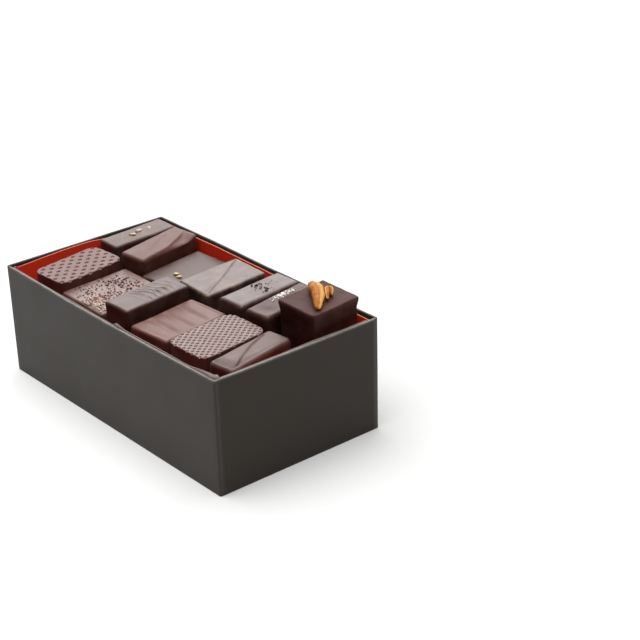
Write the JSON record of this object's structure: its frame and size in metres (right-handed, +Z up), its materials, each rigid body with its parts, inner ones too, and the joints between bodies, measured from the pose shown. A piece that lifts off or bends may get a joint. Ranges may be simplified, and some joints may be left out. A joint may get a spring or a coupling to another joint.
{
  "type": "box of chocolate pralines",
  "caption": "Open rigid card gift box, dark outside with a loose red card lining, filled with assorted cut chocolate pralines, one tall cube topped with nut.",
  "frame": {"origin": "middle of the tray's base, on the surface it stands on", "axes": "+X along the long side towards the end with the tall cube, +Y from the long front wall to the long back wall, +Z up"},
  "size_m": [0.1646, 0.0915, 0.0694],
  "materials": {
    "dark_paper": "matt dark grey paper over greyboard",
    "red_card": "matt red card",
    "dark_chocolate": "satin dark chocolate with a slight bloom",
    "brown_chocolate": "satin red-brown chocolate",
    "caramelised_nut": "glossy golden caramel over nut"
  },
  "bodies": {
    "root": {"tray": "dark_paper", "lining": "red_card", "lower_layers": "dark_chocolate", "praline_dotted_slab": "dark_chocolate", "praline_nib_square": "dark_chocolate", "praline_rippled_bar": "dark_chocolate", "praline_ribbed": "brown_chocolate", "praline_waffle_slab": "dark_chocolate", "praline_line_bar": "dark_chocolate", "praline_fleck_bar": "dark_chocolate", "praline_swept_bar": "brown_chocolate", "praline_seed_slab": "dark_chocolate", "praline_diagonal": "dark_chocolate", "praline_crystal_bar": "dark_chocolate", "praline_salt_bar": "dark_chocolate", "praline_cube": "dark_chocolate", "nut_large": "caramelised_nut", "nut_small": "caramelised_nut"}
  },
  "joints": []
}
